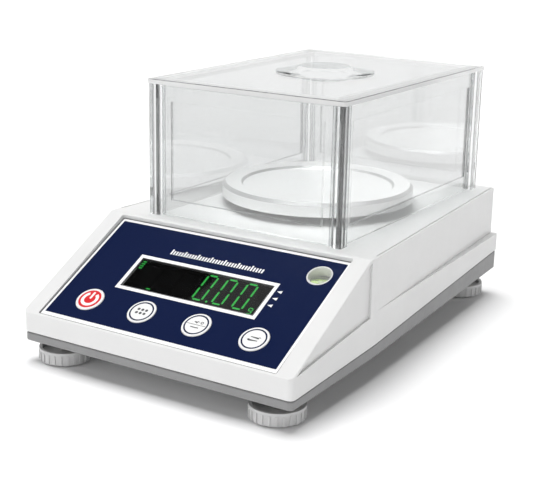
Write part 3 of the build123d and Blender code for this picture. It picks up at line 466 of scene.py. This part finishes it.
# ---------------------------------------------------------------- display
# Places in the display are measured from the lower left corner of its frame. They are those of
# the three large digits and their point, a small unit sign, a gauge of four bars, and a minus sign.
(bezel_x0, bezel_x1), (bezel_s0, bezel_s1), _ = on_panel("display_bezel")
_, _, (_, module_top) = on_panel("display_module")
DIGITS_X = 55.6 * MM
DIGITS_S = 5.6 * MM
DIGIT_PITCH = 14.6 * MM
DIGIT_SIZE = (7.2 * MM, 21.4 * MM)
POINT_X = 66.6 * MM
UNIT_X = 96.6 * MM
UNIT_S = 3.9 * MM
UNIT_SIZE = (2.6 * MM, 4.6 * MM)
GAUGE_X = 4.2 * MM
GAUGE_S = [s * MM for s in (20.4, 22.3, 24.3, 26.2)]
SIGN_X = 21.0 * MM
SIGN_S = 4.7 * MM


def bar(x0, s0, x1, s1, width):
    """A lit bar between two points, its ends cut back to points as on a segment display."""
    a, b = Vector((x0, s0)), Vector((x1, s1))
    along = (b - a).normalized()
    side = Vector((-along.y, along.x)) * width / 2
    tip = along * width / 2
    return [tuple(p) for p in (a, a + tip + side, b - tip + side, b, b - tip - side, a + tip - side)]


def digit(x, s, size, lit_bars, thick, gap):
    """The lit bars of one seven-segment digit whose lower left corner is at x, s."""
    right, mid, top = x + size[0], s + size[1] / 2, s + size[1]
    ends = {
        "a": (x, top, right, top),
        "b": (right, mid, right, top),
        "c": (right, s, right, mid),
        "d": (x, s, right, s),
        "e": (x, s, x, mid),
        "f": (x, mid, x, top),
        "g": (x, mid, right, mid),
    }
    shapes = []
    for key in lit_bars:
        x0, s0, x1, s1 = ends[key]
        dx, ds = (gap, 0) if s0 == s1 else (0, gap)
        shapes.append(bar(x0 + dx, s0 + ds, x1 - dx, s1 - ds, thick))
    return shapes


reading = []
for place in range(3):
    left = bezel_x0 + DIGITS_X + place * DIGIT_PITCH
    reading += digit(left, bezel_s0 + DIGITS_S, DIGIT_SIZE, "abcdef", 1.25 * MM, 0.65 * MM)
reading.append(circle(bezel_x0 + POINT_X, bezel_s0 + DIGITS_S + 0.1 * MM, 0.8 * MM, 20))
reading += digit(bezel_x0 + UNIT_X, bezel_s0 + UNIT_S, UNIT_SIZE, "abcdfg", 0.65 * MM, 0.15 * MM)
for s in GAUGE_S:
    left, foot = bezel_x0 + GAUGE_X, bezel_s0 + s
    reading.append(box(left, foot, left + 2.6 * MM, foot + 0.8 * MM))
left, foot = bezel_x0 + SIGN_X, bezel_s0 + SIGN_S
reading.append(box(left, foot, left + 3.0 * MM, foot + 0.9 * MM))
slab("display_reading", reading, module_top + 0.12 * MM, 0.1 * MM, "digit_green", "base")

# A graduated strip above the display, and three pointers beside it.
MARK_COUNT = 35
STRIP_X = 18.5 * MM
STRIP_RISE = 5.4 * MM
STRIP_PITCH = 2.03 * MM
STRIP_LINE = 1.15 * MM
STRIP_SHORT = 3.4 * MM
STRIP_TALL = 4.6 * MM
POINTER_GAP = 1.3 * MM
POINTER_S = [s * MM for s in (25.2, 19.2, 13.2)]
marks = []
for i in range(MARK_COUNT):
    x, s = bezel_x0 + STRIP_X + i * STRIP_PITCH, bezel_s1 + STRIP_RISE
    marks.append(box(x, s, x + STRIP_LINE, s + (STRIP_TALL if i % 5 == 0 else STRIP_SHORT)))
for s in POINTER_S:
    marks.append(pointer(bezel_x1 + POINTER_GAP, bezel_s0 + s, 3.4 * MM, 2.4 * MM))
slab("panel_marks", marks, PRINT, PRINT_THICK, "bezel_white", "base")

# ---------------------------------------------------------------- keys
def power_sign(x, s, r):
    """An open ring with an upright bar in its gap."""
    return [
        arc(x, s, 0.41 * r, 0.64 * r, 122, 418),
        box(x - 0.085 * r, s + 0.02 * r, x + 0.085 * r, s + 0.66 * r, 0.08 * r),
    ]


def count_sign(x, s):
    """Six dots in two rows."""
    pitch = 2.9 * MM
    return [circle(x + i * pitch, s + j * pitch, 1.0 * MM, 20) for i in (-1, 0, 1) for j in (-0.5, 0.5)]


def tare_sign(x, s, r):
    """An arrow to a nought above a dividing line, and a dash below it."""
    row = s + 2.2 * MM
    nought = x + 3.1 * MM
    return [
        line(x, s, 1.4 * r, 0.32 * MM),
        bar(x - 2.6 * MM, row, x + 0.2 * MM, row, 0.55 * MM),
        pointer(x + 1.4 * MM, row, -1.6 * MM, 2.2 * MM),
        circle(nought, row, 1.05 * MM, 24),
        circle(nought, row, 0.55 * MM, 24),
        line(x, s - 2.25 * MM, 5.6 * MM, 0.7 * MM),
    ]


def unit_sign(x, s):
    """Two arrows, one each way."""
    shapes = []
    for way in (1, -1):
        row = s + way * 1.2 * MM
        shapes.append(line(x, row, 5.8 * MM, 0.5 * MM))
        shapes.append(pointer(x + way * 4.3 * MM, row, way * -1.5 * MM, 1.9 * MM))
    return shapes


def key_face(key):
    """The middle and radius of a key in panel coordinates, and how far it stands out."""
    (x0, x1), (s0, s1), (_, top) = on_panel(key)
    return (x0 + x1) / 2, (s0 + s1) / 2, (x1 - x0) / 2, top


x, s, r, top = key_face("key_power")
slab("power_disc", [circle(x, s, 0.81 * r)], top + PRINT, PRINT_THICK, "key_red", "power_key")
slab("power_symbol", power_sign(x, s, r), top + 2 * PRINT, PRINT_THICK, "bezel_white", "power_key")
for key in ("count", "tare", "unit"):
    x, s, r, top = key_face(f"key_{key}")
    ring = [circle(x, s, 0.85 * r), circle(x, s, 0.745 * r)]
    slab(f"{key}_ring", ring, top + PRINT, PRINT_THICK, "navy_film", f"{key}_key")
    signs = {"count": count_sign(x, s), "tare": tare_sign(x, s, r), "unit": unit_sign(x, s)}
    slab(f"{key}_icon", signs[key], top + PRINT, PRINT_THICK, "print_grey", f"{key}_key")

# ---------------------------------------------------------------- floor, light and camera
bpy.ops.mesh.primitive_plane_add(size=14, location=(0, 0, cad_box[0].z))
floor = bpy.context.object
floor.name = "floor"
ground = Surface("floor", (0.95, 0.95, 0.95), 0.9, Specular_IOR_Level=0.0)
ground.tint(ground.spread(ground.noise(0.5, 2), 0, 1), (0.94, 0.94, 0.945))
floor.data.materials.append(ground.material)

# A white room that darkens towards its ceiling.
world = bpy.data.worlds.new("studio")
scene.world = world
world.use_nodes = True
sky = world.node_tree
height = sky.nodes.new("ShaderNodeSeparateXYZ")
sky.links.new(sky.nodes.new("ShaderNodeTexCoord").outputs["Generated"], height.inputs[0])
fade = sky.nodes.new("ShaderNodeMapRange")
fade.interpolation_type = "SMOOTHSTEP"
for socket, value in (("From Min", 0.2), ("From Max", 0.75), ("To Min", 1.0), ("To Max", 0.03)):
    fade.inputs[socket].default_value = value
sky.links.new(height.outputs["Z"], fade.inputs["Value"])
sky.links.new(fade.outputs[0], sky.nodes["Background"].inputs["Strength"])
sky.nodes["Background"].inputs["Color"].default_value = (1, 1, 1, 1)


def lamp(name, kind, place, aim, turn=0.0):
    """A lamp at place facing aim, turned about its own axis by turn degrees."""
    light = bpy.data.lights.new(name, kind)
    thing = bpy.data.objects.new(name, light)
    facing = (Vector(aim) - Vector(place)).to_track_quat("-Z", "Y").to_matrix()
    spin = Matrix.Rotation(math.radians(turn), 3, "Z")
    thing.matrix_world = Matrix.LocRotScale(Vector(place), facing @ spin, None)
    scene.collection.objects.link(thing)
    return thing


def softbox(name, place, aim, side, watts, turn=0.0):
    """A square panel of light."""
    thing = lamp(name, "AREA", place, aim, turn)
    thing.data.size = side
    thing.data.energy = watts


def sun(name, place, energy, spread):
    """Even light from one side, over an angle of spread degrees, without a highlight."""
    thing = lamp(name, "SUN", place, (0, 0, 0))
    thing.data.energy = energy
    thing.data.angle = math.radians(spread)
    thing.visible_glossy = False


sun("overhead", (-0.15, 0.1, 0.98), energy=2.9, spread=40)
sun("front_fill", (-0.25, -0.93, 0.22), energy=0.72, spread=40)
softbox("edge_light", (-0.9, -1.1, 1.2), (0, 0, 0.05), side=0.3, watts=1.2)
# The edge of this panel shows as the diagonal step of brightness in the display window.
softbox("window_panel", (-0.727, 0.112, 1.363), (0, -0.108, 0.0565), side=0.3, watts=0.11, turn=71.5)

CAMERA_PLACE = Vector((0.4225, -0.6904, 0.2898))
YAW = math.radians(32.34)
PITCH = math.radians(-15.83)
ROLL = math.radians(1.1)
ahead = Vector((-math.sin(YAW) * math.cos(PITCH), math.cos(YAW) * math.cos(PITCH), math.sin(PITCH)))
level_right = Vector((math.cos(YAW), math.sin(YAW), 0))
level_up = level_right.cross(ahead)
right = level_right * math.cos(ROLL) + level_up * math.sin(ROLL)
up = level_up * math.cos(ROLL) - level_right * math.sin(ROLL)
lens = bpy.data.cameras.new("camera")
lens.lens = 81.84
lens.sensor_width = 36
camera = bpy.data.objects.new("camera", lens)
camera.matrix_world = Matrix.LocRotScale(CAMERA_PLACE, Matrix((right, up, -ahead)).transposed(), None)
scene.collection.objects.link(camera)
scene.camera = camera

# Light has many clear faces to pass through before it reaches the pan.
scene.view_settings.view_transform = "Standard"
scene.cycles.max_bounces = 48
scene.cycles.transmission_bounces = 48
scene.cycles.transparent_max_bounces = 24
